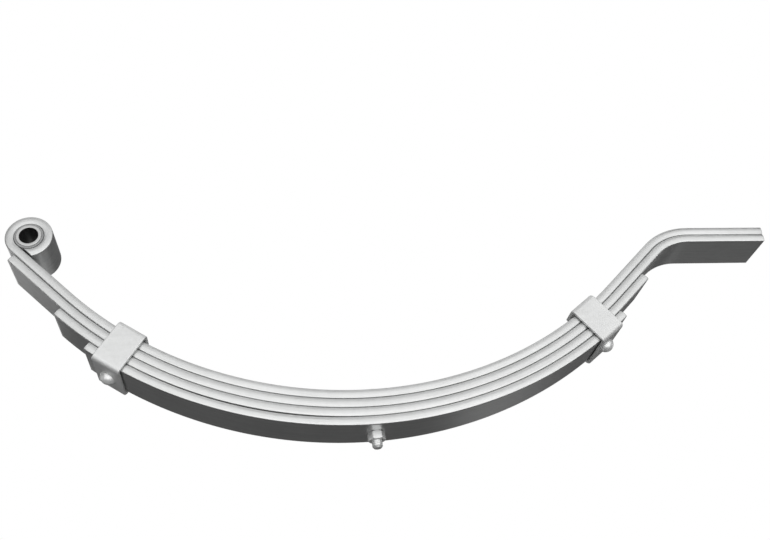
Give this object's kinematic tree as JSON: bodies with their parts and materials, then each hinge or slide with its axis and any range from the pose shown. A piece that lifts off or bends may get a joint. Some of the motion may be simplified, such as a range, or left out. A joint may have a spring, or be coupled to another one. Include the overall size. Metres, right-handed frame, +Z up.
{
  "type": "leaf spring",
  "caption": "Arched slipper leaf spring for a light trailer axle: a rolled, bushed eye at one end, a flat doubled slipper at the other, with rebound clips and a centre bolt.",
  "frame": {"origin": "on the centre bolt's axis, mid-width, on the underside of the shortest leaf, where the U-bolt plate bears", "axes": "+X along the spring from the rolled eye towards the slipper end, +Y across the leaves, +Z up out of the arch's hollow side, along the centre bolt towards its round head"},
  "size_m": [0.7277, 0.052, 0.2392],
  "materials": {
    "leaf_paint": "satin silver paint over spring steel",
    "clip_paint": "satin silver paint over mild steel strap",
    "rivet_paint": "satin silver paint over a formed steel rivet",
    "bolt_paint": "satin silver paint over a steel fastener",
    "bush_polymer": "matt grey nylon",
    "bush_steel": "turned and plated steel tube"
  },
  "bodies": {
    "seat_pack": {"main_leaf": "leaf_paint", "second_leaf": "leaf_paint", "third_leaf": "leaf_paint", "fourth_leaf": "leaf_paint", "centre_bolt": "bolt_paint", "centre_nut": "bolt_paint"},
    "eye_arm": {"eye_clip": "clip_paint", "eye_clip_rivet": "rivet_paint", "bush_liner": "bush_polymer"},
    "slipper_arm": {"slipper_clip": "clip_paint", "slipper_clip_rivet": "rivet_paint"},
    "bush_sleeve": {"bush_sleeve": "bush_steel"}
  },
  "joints": [
    {"name": "eye_arm_flex", "type": "hinge", "parent": "seat_pack", "child": "eye_arm", "pos_m": [-0.12665, 0, 0.03863], "axis": [0, -1, 0], "range_deg": [0, 13], "stiffness_Nm_per_rad": 2700, "deforming": ["main_leaf", "second_leaf", "third_leaf", "fourth_leaf"]},
    {"name": "slipper_arm_flex", "type": "hinge", "parent": "seat_pack", "child": "slipper_arm", "pos_m": [0.12665, 0, 0.03863], "axis": [0, 1, 0], "range_deg": [0, 13], "stiffness_Nm_per_rad": 5100, "deforming": ["main_leaf", "second_leaf", "third_leaf", "fourth_leaf"]},
    {"name": "bush_turn", "type": "hinge", "parent": "eye_arm", "child": "bush_sleeve", "pos_m": [-0.29686, 0, 0.20441], "axis": [0, -1, 0], "continuous": true}
  ]
}
